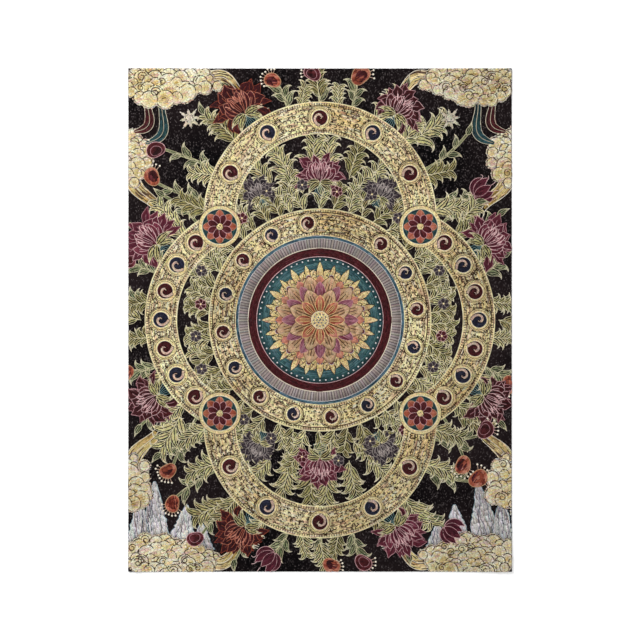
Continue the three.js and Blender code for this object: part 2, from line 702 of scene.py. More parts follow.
def draw_tail(chart, spine, width):
    """The trailing end of a cloud: its silk gives out on the way, and three pale lines run on."""
    full = len(spine) * 7 // 10
    halves = width / 2 * np.linspace(1, 0.25, len(spine))
    shade = shade_along(spine[0], spine[full], 0.5, 0.0)
    draw_blade(chart, spine[:full], halves[:full], "clouds", "cloud", shade, mixed=("gold", "umber"),
               mix=0.2)
    for share in (-1, 0, 1):
        line = spine + 1j * direction(spine) * halves * share * 0.95
        chart.sew_line(line[4 * (share == 0) :], "ecru", 0.9, 0.6, OVER_STITCHES)


def draw_crag(chart, foot, heading, length, width, rng):
    """A steep pale crag with jagged sides, its clefts picked out in cold blue."""
    spine = growing_line(foot, heading, length, rng.uniform(-14, 14), count=24)
    halves = width / 2 * np.linspace(1, 0.03, 24) ** 0.8 * rng.uniform(0.88, 1.12, 24)
    outline = leaf_outline(spine, halves)
    rows = straight_rows(outline, heading + 14, pitch_mm())
    chart.draw(Shape("clouds", [outline], rows, "pearl", patchy_shade(0.7, 0.35, 26, 0.2),
                     mixed=("mauve",), mix=0.1, edge="steel", edge_shade=0.9, edge_width=0.5))
    for share in (-0.5, 0.0, 0.5):
        wander = np.clip(share + np.cumsum(rng.uniform(-0.13, 0.13, 24)), -0.9, 0.9)
        line = spine + 1j * direction(spine) * halves * wander
        cleft = line[rng.integers(0, 8) : rng.integers(13, 22)]
        chart.sew_line(cleft, "navy", 0.75, 0.5, OVER_STITCHES)


def draw_ribbon(chart, spine, width, thread):
    """A fluttering ribbon, dark where it sets out, its two edges and its middle picked out."""
    share = np.linspace(0, 1, len(spine))
    halves = width / 2 * (0.8 + 0.2 * np.cos(9 * share)) * np.minimum(1, 6 * (1 - share) + 0.25) ** 0.5
    shade = shade_along(spine[0], spine[-1], -0.15, 0.5)
    draw_blade(chart, spine, halves, "flowers", thread, shade, edge="ecru", edge_shade=0.45,
               edge_width=0.62)
    chart.sew_line(spine[:-1], "ecru", 0.3, 0.5, 0.36)


def draw_boss(chart, centre, radius, thread, spin):
    """A round boss on a gold band: a dark disc in a pale collar, with a pale volute curling into it."""
    draw_disc(chart, centre, radius + 3.6, "bands", "gold", flat_shade(0.9), stitch=0.5, raised=0.15,
              edge="scroll", edge_shade=0.4, edge_width=0.6)
    chart.sew_line(arc(centre, radius + 2.1, spin + 20, 290, 30), "scroll", 0.35, 0.42, 0.45)
    draw_disc(chart, centre, radius, "bosses", thread, flat_shade(0.35, 0.15), stitch=0.45, raised=0.15,
              edge="ecru", edge_shade=0.6, edge_width=0.9)
    chart.sew_line(arc(centre, radius + 5.2, spin + 65, 230, 24), "scroll", 0.1, 0.55, OVER_STITCHES)
    share = np.linspace(0, 1, 30)
    spine = centre + radius * (1.0 - 0.5 * share**0.5 - 0.38 * share) * turned(spin - 335 * share)
    halves = radius * (0.2 - 0.12 * share)
    draw_blade(chart, spine, halves, "bosses", "blush", flat_shade(0.7), stitch=0.4, raised=0.3,
               edge="scroll", edge_shade=0.2, edge_width=0.5)


def draw_scrolls(chart, places, rng):
    """Small dark curls and pairs of short stitches sewn over gold, each turned its own way."""
    for place in places:
        if rng.random() < 0.5:
            for spot in place + rng.uniform(-1.6, 1.6, 2) + 1j * rng.uniform(-1.6, 1.6, 2):
                stitch = rng.uniform(0.9, 1.7) * turned(rng.uniform(0, 360))
                line = np.array([spot, spot + stitch])
                chart.sew_line(line, "scroll", rng.uniform(0.0, 0.35), 0.8, OVER_STITCHES)
            continue
        radius = rng.uniform(1.2, 2.5)
        sweep = rng.choice([-1, 1]) * rng.uniform(110, 300)
        share = np.linspace(0, 1, 9)
        curl = place + radius * (1 - 0.55 * share) * turned(rng.uniform(0, 360) + sweep * share)
        chart.sew_line(curl, "scroll", rng.uniform(0.0, 0.35), 0.85, OVER_STITCHES)


def draw_ticks(chart, line, reach, spacing):
    """Short dark stitches side by side along the border of a band."""
    places = resample(line, spacing)[:-1]
    for place, way in zip(places, 1j * direction(places) * reach):
        chart.sew_line(np.array([place, place + way]), "scroll", 0.2, 0.6, OVER_STITCHES)


def draw_band(chart, line_at, half, spans, rng):
    """A gold band: couched rows, ticked borders, curls, and bosses in each of its spans."""
    pitch = pitch_mm()
    rows = {}
    for k, offset in enumerate(np.arange(pitch / 2 - half, half, pitch)):
        row = resample(closed(line_at(offset)), ROW_STEP)
        rows[k] = closed(np.roll(row[:-1], int(k * 0.382 * len(row))))
    chart.draw(Shape("bands", [line_at(half), line_at(-half)], rows, "gold",
                     patchy_shade(0.94, 0.34, 90, 0.12), mixed=("peach", "umber", "straw"), mix=0.15,
                     edge="straw"))
    for offset, reach in ((half - 1.2, TICK_REACH), (1.2 - half, -TICK_REACH)):
        draw_ticks(chart, closed(line_at(offset)), reach, TICK_SPACING)
        chart.sew_line(closed(line_at(offset - reach * 1.15)), "scroll", 0.5, 0.55, OVER_STITCHES)
    for row in np.arange(4.9 - half, half - 4.4, SCROLL_SPACING):
        line = resample(closed(line_at(row)), SCROLL_SPACING)
        jitter = rng.uniform(-1.2, 1.2, len(line)) + 1j * rng.uniform(-1.2, 1.2, len(line))
        draw_scrolls(chart, line + jitter, rng)
    middle = resample(closed(line_at(0)), 0.5)[:-1]
    ways = np.degrees(np.angle(-1j * direction(middle)))
    angles = np.degrees(np.angle(middle)) % 360
    for start, end, count in spans:
        first, last = (int(np.argmin(np.abs(angles - edge % 360))) for edge in (start, end))
        last += len(middle) * (last <= first)
        for j in range(count):
            k = int(first + (j + 1) / (count + 1) * (last - first)) % len(middle)
            draw_boss(chart, middle[k], half * BOSS_SHARE, ("burgundy", "navy")[j % 2], ways[k] + 180)


def draw_rosette(chart, heart, size):
    """A round rosette, where two lobes of the outer band meet."""
    draw_disc(chart, heart, size, "bands", "gold", flat_shade(0.9), stitch=0.5, raised=0.2,
              edge="scroll", edge_shade=0.3, edge_width=0.8)
    draw_disc(chart, heart, size * 0.84, "bosses", "teal", striped_shade(0.4, 0.1), raised=0.15,
              edge="ecru")
    for first, reach, width, thread, edge in (
        (0, 0.8, 0.4, "coral", "peach"),
        (0.5, 0.6, 0.32, "burgundy", "pink"),
    ):
        for j in range(8):
            draw_petal(chart, heart, 360 * (j + first) / 8, size * reach, size * width, thread, end=0.7,
                       fullest=0.62, sharp=0.6, streaks=0, edge=edge, piece="bosses")
    draw_disc(chart, heart, size * 0.16, "bosses", "gold", flat_shade(0.8), stitch=0.5, raised=0.3)


# ---------------------------------------------------------------- the design

MEDALLION_REACH = 66.0
BORDER_REACH = 75.0
RAY_REACH = 85.0
RIM_REACH = 88.0
RING_HALF = 14.0
RING_MIDDLE = RIM_REACH + RING_HALF
RING_REACH = RIM_REACH + 2 * RING_HALF
BAND_HALF = 16.5
LOBE_CENTRES = (58, 106j, -58, -106j)
LOBE_RADII = (108, 105, 108, 105)
LOBE_CORNERS = [
    outer_crossing(LOBE_CENTRES[j], LOBE_RADII[j], LOBE_CENTRES[j - 3], LOBE_RADII[j - 3])
    for j in range(4)
]
ROSETTE_REACH = 22.0
PEONY_SIZE = 50.0
BUD_SIZES = (21, 26)
TULIP_SIZES = (21, 24)
STAR_PLACES = (-136 + 210j, 136 + 210j)

# The threads of a bud: its cup, its edge, and how many patches of the cup's thread are in its heart.
BUD_THREADS = (
    ("coral", "peach", 1),
    ("burgundy", "pink", 0),
    ("coral", "peach", 1),
    ("plum", "pink", 0),
)
# The threads of a peony: its back petals, its cup and its edges.
PEONY_THREADS = (
    ("plum", "plum", "pink"),
    ("burgundy", "burgundy", "pink"),
    ("burgundy", "burgundy", "coral"),
)
DUSKY_PEONY = ("dusk", "dusk", "mauve")
BLOSSOM_THREADS = (("dusk", "mauve"), ("dusk", "mauve"), ("burgundy", "pink"))

# What fills a corner. Places are millimetres across and up, inwards from the corner of the cloth.
CORNER_TAILS = (
    # start, end, sway, width
    ((6, 100), (32, 168), 0.1, 20),
    ((84, 12), (136, 26), -0.12, 18),
)
CORNER_CRAGS = (
    # foot, length, width
    (28, 24, 70, 36),
    (56, 22, 48, 34),
    (10, 24, 56, 28),
    (78, 22, 30, 24),
)
CORNER_RIBBONS = (
    # thread, start, end, sway
    ("teal", (54, 22), (18, 78), 0.14),
    ("burgundy", (36, 22), (6, 66), 0.16),
)
# The rings of petals in the lotus, from the outer one.
LOTUS_RINGS = (
    # count, first, root, reach, width, thread, edge, edge's shade
    (12, 0.0, 12, 35, 15, "coral", "gold", 0.6),
    (12, 0.5, 12, 35, 18, "peach", "scroll", 0.6),
    (12, 0.0, 12, 28, 12, "plum", "pink", 0.5),
    (8, 0.5, 6, 28, 16, "peach", "scroll", 0.6),
    (8, 0.0, 6, 20, 10, "coral", "gold", 0.6),
)
# The blades of a gold palmette, from the back ones.
PALMETTE_BLADES = (
    # lean in degrees, length and breadth as shares of the size
    (-95, 0.62, 0.26),
    (95, 0.62, 0.26),
    (-48, 0.8, 0.28),
    (48, 0.8, 0.28),
    (0, 1.0, 0.36),
)


def band_line(offset):
    """A line round the outer gold band, so far outside its middle."""
    return four_lobes(LOBE_CENTRES, [radius + offset for radius in LOBE_RADII])


def ring_line(offset):
    """A line round the inner gold band, so far outside its middle."""
    return circle(0, RING_MIDDLE + offset)


def band_places(offset, count, start):
    """Places spaced evenly round the outer band, and the way out from it at each."""
    line = resample(closed(band_line(offset)), 0.5)
    ways = np.degrees(np.angle(-1j * direction(line)))
    at = ((np.arange(count) + start) / count * len(line)).astype(int) % len(line)
    return [(line[k], ways[k]) for k in at]


def draw_corner(chart, across, up, rng):
    """The clouds, ribbons and crags in one corner of the panel."""
    corner = complex(across * WIDTH / 2, up * LENGTH / 2)

    def inward(x, y):
        """A place so far in from the corner."""
        return corner - (across * x + 1j * up * y)

    def sway(start, end, bend):
        """A swaying line between two places in from the corner."""
        line = swaying_line(complex(*start), complex(*end), bend)
        return inward(line.real, line.imag)

    for start, end, bend, width in CORNER_TAILS:
        draw_tail(chart, sway(start, end, bend), width)
    if up < 0:
        for x, y, length, width in CORNER_CRAGS:
            draw_crag(chart, inward(x, y), 90 + rng.uniform(-6, 6), length, width, rng)
    draw_cloud(chart, sway((-4, 62), (4, 122), 0.05)[::8], 46, rng)
    if up > 0:
        for thread, start, end, bend in CORNER_RIBBONS:
            draw_ribbon(chart, sway(start, end, bend), 10, thread)
    draw_cloud(chart, sway((-8, 12), (98, 18), 0.03)[::4], 40, rng)


def draw_outer_leaves(chart, rng):
    """Plumes and flowers that grow outwards from the outer band, longer towards the corners."""
    peonies = band_places(BAND_HALF + 15, 8, 0.5)
    taken = [place + PEONY_SIZE / 4 * turned(way) for place, way in peonies]
    taken += STAR_PLACES
    tips = []
    for place, way in band_places(BAND_HALF - 6, 38, 0.5):
        length = rng.uniform(46, 64)
        tip = place + (length + 18) * turned(way)
        length -= max(abs(tip.real) - WIDTH / 2, abs(tip.imag) - LENGTH / 2, 0)
        tips.append(draw_stalk(chart, place, way, max(length, 30), rng.uniform(-30, 30), rng))
    for offset, count, start, shortest in ((4, 12, 0.0, 34), (-6, 32, 0.5, 26)):
        for j, (place, way) in enumerate(band_places(BAND_HALF + offset, count, start)):
            room = abs((place**2).imag) / abs(place) ** 2
            heading = way + (14 if j % 2 else -14)
            length = shortest + 14 * room * rng.uniform(0.4, 1.3)
            draw_plume(chart, place, heading, length, rng.uniform(-30, 30), 4, rng)
    for j, (tip, heading) in enumerate(tips):
        if np.abs(np.array(taken) - tip).min() < 0.5 * PEONY_SIZE:
            draw_leaf(chart, growing_line(tip, heading, 15, rng.uniform(-60, 60)), 6, 0.8, "sage")
            continue
        taken.append(tip)
        if j % 4 == 3:
            draw_tulip(chart, tip, heading, rng.uniform(*TULIP_SIZES), rng)
        else:
            draw_bud(chart, tip, heading, rng.uniform(*BUD_SIZES), BUD_THREADS[j % 4], rng)
    for j, (place, way) in enumerate(peonies):
        draw_peony(chart, place, way, PEONY_SIZE * rng.uniform(0.92, 1.08), PEONY_THREADS[j % 3], rng)


def draw_inner_leaves(chart, rng):
    """Small plumes, peonies and dusky blossoms between the two gold bands."""
    for side in (90, -90):
        for lean in (-40, -31, -22, -13, -4, 4, 13, 22, 31, 40):
            base = 150 * turned(side + lean * 0.9)
            heading = side + lean * 1.2 + rng.uniform(-12, 12)
            draw_plume(chart, base, heading, 47 - abs(lean) * 0.45, lean, 4, rng, "fronds")
    count = 50
    for ring in (20, 2):
        for j in range(count):
            angle = 360 * (j + rng.uniform(0.35, 0.65)) / count
            room = np.sin(np.radians(angle)) ** 2  # most above and below the inner band, none beside it
            base = (RING_REACH + ring * room - 3) * turned(angle)
            heading = angle + rng.uniform(-30, 30)
            draw_plume(chart, base, heading, 30 + 3 * room, rng.uniform(-40, 40), 3, rng, "fronds")
    for side in (90, -90):
        for lean in (-26, 26):
            draw_peony(chart, 144 * turned(side + lean), side + lean, 32, DUSKY_PEONY, rng)
        draw_peony(chart, 146 * turned(side), side, 44, PEONY_THREADS[0], rng)
    for j in range(24):
        angle = 15 * j + 7.5
        room = 18 + 18 * np.sin(np.radians(angle)) ** 2
        heart = (RING_REACH + room * rng.uniform(0.5, 1.0)) * turned(angle)
        draw_blossom(chart, heart, 12, *BLOSSOM_THREADS[j % 3], rng)


def draw_palmette(chart, base, heading, size, jewel):
    """A small gold palmette with dark outlines and a jewel at its foot."""
    for lean, share, breadth in PALMETTE_BLADES:
        spine = growing_line(base, heading + lean * 0.6, size * share, lean * 0.9, 1.5)
        halves = leaf_halves(len(spine), size * breadth, 0.42, 0.8)
        shade = shade_along(spine[0], spine[-1], 0.3, 1.0)
        draw_blade(chart, spine, halves, "medallion", "gold", shade, stitch=0.5, mixed=("peach",),
                   mix=0.2, edge="scroll", edge_shade=0.3, edge_width=0.6)
    draw_disc(chart, base + 0.12 * size * turned(heading), size * 0.17, "medallion", jewel,
              flat_shade(0.55), stitch=0.4, raised=0.3, edge="pearl", edge_width=0.6)


def draw_medallion(chart):
    """The round middle: rays, a burgundy border, and a lotus on teal in a ring of pearls."""
    draw_disc(chart, 0, RIM_REACH, "medallion", "steel", flat_shade(0.45, 0.2), edge="ecru")
    rays = ray_rows(BORDER_REACH - 1, RAY_REACH, pitch_mm())
    chart.draw(Shape("medallion", [circle(0, RAY_REACH)], rays, "mauve", striped_shade(0.72, 0.05),
                     stitch=3.0, edge="pearl", edge_width=0.8))
    draw_disc(chart, 0, BORDER_REACH, "medallion", "burgundy", flat_shade(0.36, 0.14), edge="ecru",
              edge_shade=0.6)
    draw_disc(chart, 0, MEDALLION_REACH, "medallion", "teal",
              belt_shade(MEDALLION_REACH - 9, 7, 0.68, 0.13), edge="pink", edge_shade=0.75)
    for j in range(64):
        chart.tie_knot((MEDALLION_REACH - 3) * turned(360 * j / 64), 1.0, "pearl")
    for j in range(24):
        reach, size, jewel = ((41, 20, "navy"), (44, 15, "plum"))[j % 2]
        draw_palmette(chart, reach * turned(15 * j), 15 * j, size, jewel)
    for count, first, root, reach, width, thread, edge, edge_shade in LOTUS_RINGS:
        for j in range(count):
            heading = 360 * (j + first) / count
            draw_petal(chart, root * turned(heading), heading, reach, width, thread, start=0.0, end=1.0,
                       sharp=0.7, streaks=3, edge=edge, edge_shade=edge_shade, piece="medallion")
    draw_disc(chart, 0, 9, "medallion", "gold", flat_shade(0.85), stitch=0.5, raised=0.3, edge="ecru")
    for reach, count in ((0, 1), (3.2, 6), (6.4, 12)):
        for j in range(count):
            chart.tie_knot(reach * turned(360 * j / count), 1.0, "navy", 0.8)


@functools.cache
def drawn_chart():
    """The whole design, drawn from the ground up."""
    chart = Chart()
    rng = np.random.default_rng(SEED)
    for across, up in ((-1, 1), (1, 1), (-1, -1), (1, -1)):
        draw_corner(chart, across, up, rng)
    draw_outer_leaves(chart, rng)
    for place in STAR_PLACES:
        draw_star(chart, place, 25)
    draw_inner_leaves(chart, rng)
    starts = [np.degrees(np.angle(place)) for place in LOBE_CORNERS]
    ends = np.roll(starts, -1)
    # Five bosses on each side lobe and seven on the top and bottom ones.
    spans = list(zip(starts, ends, (5, 7, 5, 7)))
    draw_band(chart, band_line, BAND_HALF, spans, rng)
    for place in LOBE_CORNERS:
        draw_rosette(chart, place, ROSETTE_REACH)
    draw_band(chart, ring_line, RING_HALF, [(75, 74, 15)], rng)
    draw_medallion(chart)
    return chart


# ---------------------------------------------------------------- the lie of the cloth

FELT_ACROSS = 41
FELT_UP = 53
JUST_INSIDE = 0.999  # keeps a place on the very edge within the solid
FEELER_START = 0.01  # how far below the solid a feeler sets out, in metres


@functools.cache
def felt_heights():
    """How high the solid's underside lies over the surface, felt from below on a grid and smoothed."""
    solid = frame["nodes"][NODE]
    heights = np.zeros((FELT_UP, FELT_ACROSS))
    for row, up in enumerate(np.linspace(LOWEST.y, HIGHEST.y, FELT_UP)):
        for column, across in enumerate(np.linspace(LOWEST.x, HIGHEST.x, FELT_ACROSS)):
            below = (across * JUST_INSIDE, up * JUST_INSIDE, LOWEST.z - FEELER_START)
            found, place, _, _ = solid.ray_cast(below, (0, 0, 1))
            if not found:
                raise RuntimeError(f"the solid can't be felt at {across:.3f}, {up:.3f}")
            heights[row, column] = place.z / MM
    for _ in range(2):
        padded = np.pad(heights, 1, mode="edge")
        heights = (padded[:-2, 1:-1] + 2 * padded[1:-1, 1:-1] + padded[2:, 1:-1]) / 4
        padded = np.pad(heights, 1, mode="edge")
        heights = (padded[1:-1, :-2] + 2 * padded[1:-1, 1:-1] + padded[1:-1, 2:]) / 4
    return heights


def cloth_top(places):
    """The height of the cloth's upper face at each place, in millimetres."""
    heights = felt_heights()
    column = np.clip((places.real / WIDTH + 0.5) * (FELT_ACROSS - 1), 0, FELT_ACROSS - 1.001)
    row = np.clip((places.imag / LENGTH + 0.5) * (FELT_UP - 1), 0, FELT_UP - 1.001)
    left, low = column.astype(int), row.astype(int)
    across, up = column - left, row - low
    lower = heights[low, left] * (1 - across) + heights[low, left + 1] * across
    upper = heights[low + 1, left] * (1 - across) + heights[low + 1, left + 1] * across
    return lower * (1 - up) + upper * up + CLOTH_LIFT + CLOTH_THICKNESS


# ---------------------------------------------------------------- strands of thread as mesh


class Bundle:
    """The points, faces and colours of one joined mesh, gathered strand by strand."""

    def __init__(self):
        self.points = []
        self.colours = []
        self.coords = []
        self.corners = {3: [], 4: []}
        self.size = 0

    def add(self, points, colours, coords, faces, repeats=1):
        """Add parts that are all alike in their faces, given as corners within the part."""
        each = len(points) // repeats
        starts = self.size + each * np.arange(repeats)
        for face in faces:
            face = np.asarray(face)
            if len(face):
                placed = starts[:, None, None] + face
                self.corners[face.shape[1]].append(placed.reshape(-1, face.shape[1]))
        self.points.append(points)
        self.colours.append(colours)
        self.coords.append(coords)
        self.size += len(points)

    def build(self, name, material):
        """Make the joined mesh and its object."""
        points = np.concatenate(self.points) * MM
        colours = np.clip(np.concatenate(self.colours), 0, 1)
        coords = np.concatenate(self.coords)
        groups = [np.concatenate(group) for group in self.corners.values() if group]
        loops = np.concatenate([group.ravel() for group in groups])
        sizes = np.concatenate([np.full(len(group), group.shape[1]) for group in groups])
        mesh = bpy.data.meshes.new(name)
        mesh.vertices.add(len(points))
        mesh.vertices.foreach_set("co", points.astype(np.float32).ravel())
        mesh.loops.add(len(loops))
        mesh.loops.foreach_set("vertex_index", loops.astype(np.int32))
        mesh.polygons.add(len(sizes))
        mesh.polygons.foreach_set("loop_start", (np.cumsum(sizes) - sizes).astype(np.int32))
        mesh.update(calc_edges=True)
        if mesh.validate():
            raise RuntimeError(f"{name} has faces that don't hold together")
        mesh.shade_smooth()
        dye = mesh.color_attributes.new(name="thread_colour", type="FLOAT_COLOR", domain="POINT")
        opaque = np.column_stack([colours, np.ones(len(colours))])
        dye.data.foreach_set("color", opaque.astype(np.float32).ravel())
        layer = mesh.uv_layers.new(name="along_thread")
        layer.data.foreach_set("uv", coords[loops].astype(np.float32).ravel())
        mesh.materials.append(material)
        piece = bpy.data.objects.new(name, mesh)
        bpy.context.scene.collection.objects.link(piece)
        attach(piece, BODY)


def strand_faces(stations):
    """The faces of a strand: a point at each end, and rings of left, top and right between them."""
    left = 1 + 3 * np.arange(stations - 2)
    top, right, last = left + 1, left + 2, 3 * (stations - 2) + 1
    sides = [
        np.column_stack([one[:-1], other[:-1], other[1:], one[1:]])
        for one, other in ((left, top), (top, right), (right, left))
    ]
    ends = [
        (0, top[0], left[0]),
        (0, right[0], top[0]),
        (0, left[0], right[0]),
        (last, left[-1], top[-1]),
        (last, top[-1], right[-1]),
        (last, right[-1], left[-1]),
    ]
    return np.concatenate(sides), np.array(ends)


def add_strands(bundle, places, low, high, halves, colours):
    """Add strands that are alike in their number of stations: all arrays are strands by stations."""
    count, stations = places.shape
    way = np.gradient(places, axis=1)
    side = 1j * way / np.maximum(np.abs(way), 1e-9)
    steps = np.abs(np.diff(places, axis=1))
    travelled = np.concatenate([np.zeros((count, 1)), np.cumsum(steps, axis=1)], axis=1)
    points = np.zeros((count, 3 * stations - 4, 3))
    coords = np.zeros((count, 3 * stations - 4, 2))
    tints = np.zeros((count, 3 * stations - 4, 3))
    for end, station in ((0, 0), (-1, -1)):
        points[:, end, 0] = places[:, station].real
        points[:, end, 1] = places[:, station].imag
        points[:, end, 2] = low[:, station]
        coords[:, end, 0] = travelled[:, station]
        tints[:, end] = colours[:, station]
    for step, (shift, heights) in enumerate(((1, low), (0, high), (-1, low))):
        ring = places[:, 1:-1] + shift * side[:, 1:-1] * halves[:, 1:-1]
        points[:, 1 + step : -1 : 3, 0] = ring.real
        points[:, 1 + step : -1 : 3, 1] = ring.imag
        points[:, 1 + step : -1 : 3, 2] = heights[:, 1:-1]
        coords[:, 1 + step : -1 : 3, 0] = travelled[:, 1:-1]
        coords[:, 1 + step : -1 : 3, 1] = shift * halves[:, 1:-1]
        tints[:, 1 + step : -1 : 3] = colours[:, 1:-1]
    bundle.add(points.reshape(-1, 3), tints.reshape(-1, 3), coords.reshape(-1, 2),
               strand_faces(stations), count)


def dyed(thread, shades):
    """The colours of a thread at shades from 0, its dark, through its middle to 1, its light."""
    colours = bpy.context.scene.thangka_colours
    stops = np.array([getattr(colours, f"{thread}_{shade}") for shade in SHADES])
    at = np.clip(shades, 0, 1)
    return np.stack([np.interp(at, (0, 0.5, 1), stops[:, part]) for part in range(3)], axis=-1)


def runs_of(shows, group):
    """The first and last numbers of each unbroken run of True within one group."""
    joined = shows[1:] & shows[:-1] & (group[1:] == group[:-1])
    starts = np.flatnonzero(shows & ~np.concatenate([[False], joined]))
    ends = np.flatnonzero(shows & ~np.concatenate([joined, [False]]))
    return starts, ends


SHORTEST_RUN = 0.7  # a gap smaller than this gets no stitch, in millimetres
STITCH_HALF = 0.56  # half a stitch's width, as a share of the pitch, so that rows just meet
NEEDLE_HOLE_PAINTED_SHADE = 0.72  # painted shade: how bright a thread is drawn at its ends, where it dips into the cloth and shade falls in the hole
STITCH_OVERLAP = 0.3  # how far each stitch goes past the next one's hole, in millimetres
WORN_PATCH = 105.0  # the size of the patches where the thread is a little dull, in millimetres
DYE_SPREAD = 0.05  # how unevenly the thread took the dye
TINT_SPREAD = 0.045  # and how unevenly in each of red, green and blue
MIX_PATCH = 13  # the size of the patches where a mixed thread gathers, in millimetres
SHORTEST_CORD = 1.0  # an edge that shows for less than this gets no cord, in millimetres
SHORTEST_LINE = 0.8  # and the same for a sewn line
LOOK_ASIDE = 0.45  # how far to each side of an outline the chart is looked at
CORD_RISE = 0.66  # how high an edge cord stands over the cloth
LONGEST_STEP = 5.0  # the most that a cord runs straight on, in millimetres
SHARPEST_BEND = 24.0  # the most that it bends at once, in degrees
KNOT_SIDES = 8


def fill_shape(bundle, chart, number, sizes):
    """Fill one shape with stitches wherever it shows."""
    shape = chart.shapes[number]
    rng = np.random.default_rng((SEED, number))
    keys = sorted(shape.rows)
    rows = [shape.rows[key] for key in keys]
    places = np.concatenate(rows)
    group = np.repeat(keys, [len(row) for row in rows])
    starts, ends = runs_of(chart.look(places) == number, group)
    usual = sizes.stitch / MM * shape.stitch
    heads, tails, which = [], [], []
    for start, end in zip(starts, ends):
        step = abs(places[start + 1] - places[start]) if end > start else 0
        if step * (end - start) < SHORTEST_RUN:
            continue
        count = max(1, round(step * (end - start) / usual))
        cuts = np.arange(count + 1) / count
        cuts[1:-1] += rng.uniform(-0.3, 0.3, count - 1) / count
        at = np.round(start + cuts * (end - start)).astype(int)
        heads.append(places[at[:-1]])
        tails.append(places[at[1:]])
        which.append(np.full(count, group[start]))
    if not heads:
        return
    heads, tails, which = np.concatenate(heads), np.concatenate(tails), np.concatenate(which)
    middles = (heads + tails) / 2
    colours = dyed(shape.thread, shape.shade(middles, which, rng))
    for turn, thread in enumerate(shape.mixed):
        other = rng.random(len(heads)) < shape.mix * (1 + 1.5 * drift(middles, MIX_PATCH, turn + 1))
        colours[other] = dyed(thread, shape.shade(middles[other], which[other], rng))
    colours *= rng.normal(1, DYE_SPREAD, (len(heads), 1)) * rng.normal(1, TINT_SPREAD, (len(heads), 3))
    colours *= 0.95 + 0.13 * drift(middles, WORN_PATCH)[:, None]
    lengthwise = tails - heads
    overlap = STITCH_OVERLAP * lengthwise / np.maximum(np.abs(lengthwise), 0.1)
    heads, tails = heads - overlap, tails + overlap
    lengthwise = tails - heads
    shoulder = np.minimum(0.3, 0.55 / np.maximum(np.abs(lengthwise), 0.1))
    shoulder = lengthwise * shoulder
    stations = np.stack([heads, heads + shoulder, tails - shoulder, tails], axis=1)
    ground = cloth_top(stations)
    pitch = sizes.pitch / MM
    height = sizes.height / MM * rng.uniform(0.85, 1.15, len(heads))[:, None]
    tints = np.repeat(colours[:, None, :], 4, axis=1)
    # painted shade: both ends of each stitch are drawn darker, where the thread goes down into the cloth
    tints[:, (0, 3)] *= NEEDLE_HOLE_PAINTED_SHADE
    halves = np.full(stations.shape, pitch * STITCH_HALF)
    add_strands(bundle, stations, ground - STITCH_SINK, ground + height + shape.raised, halves, tints)


def thinned(line):
    """The points of a line that its bends need."""
    steps = np.diff(line)
    bends = np.abs(np.degrees(np.angle(steps[1:] * np.conj(steps[:-1]))))
    measure = np.concatenate([[0], np.cumsum(np.abs(steps)) / LONGEST_STEP])
    measure[1:-1] += np.cumsum(bends) / SHARPEST_BEND
    measure[-1] = measure[-2] + 1
    keep = np.flatnonzero(np.diff(np.floor(measure), prepend=-1) > 0)
    return line[keep]


def couch(bundle, line, thread, shade, width, low, rng, height=None):
    """Lay one cord along a line, its ends tucked in."""
    line = thinned(line)
    if len(line) < 2:
        return
    ends = 0.4 * width
    first, last = line[1] - line[0], line[-1] - line[-2]
    line = np.concatenate([
        [line[0] - ends * first / abs(first)],
        line,
        [line[-1] + ends * last / abs(last)],
    ])
    places = line[None, :]
    ground = cloth_top(places)
    halves = np.full(places.shape, width / 2)
    tints = dyed(thread, shade + rng.normal(0, 0.08, places.shape))
    add_strands(bundle, places, ground + low, ground + low + (height or width * 0.75), halves, tints)


def couch_edges(bundle, chart, sizes):
    """Couch a cord round every shape that has one, wherever only one side of its edge shows."""
    for number, shape in enumerate(chart.shapes):
        if shape is None or not shape.edge:
            continue
        rng = np.random.default_rng((SEED, number, 1))
        width = sizes.cord / MM * shape.edge_width
        for outline in shape.outlines:
            line = resample(closed(outline), ROW_STEP)
            inward = 1j * direction(line)
            inside = chart.look(line + inward * LOOK_ASIDE) == number
            outside = chart.look(line - inward * LOOK_ASIDE) == number
            for start, end in zip(*runs_of(inside ^ outside, np.zeros(len(line)))):
                if (end - start) * ROW_STEP > SHORTEST_CORD:
                    couch(bundle, line[start : end + 1], shape.edge, shape.edge_shade, width,
                          -STITCH_SINK, rng, CORD_RISE + shape.raised)


def sew_lines(bundle, chart, sizes, threads):
    """Sew the lines of certain threads that are drawn over the shapes."""
    for number, line in enumerate(chart.lines):
        if line.thread not in threads:
            continue
        rng = np.random.default_rng((SEED, number, 2))
        fine = resample(line.places, ROW_STEP)
        found = chart.look(fine)
        shows = (found >= 0) & (found <= line.drawn_after)
        width = sizes.cord / MM * line.width
        for start, end in zip(*runs_of(shows, np.zeros(len(fine)))):
            if (end - start) * ROW_STEP > SHORTEST_LINE:
                couch(bundle, fine[start : end + 1], line.thread, line.shade, width, line.raised, rng)


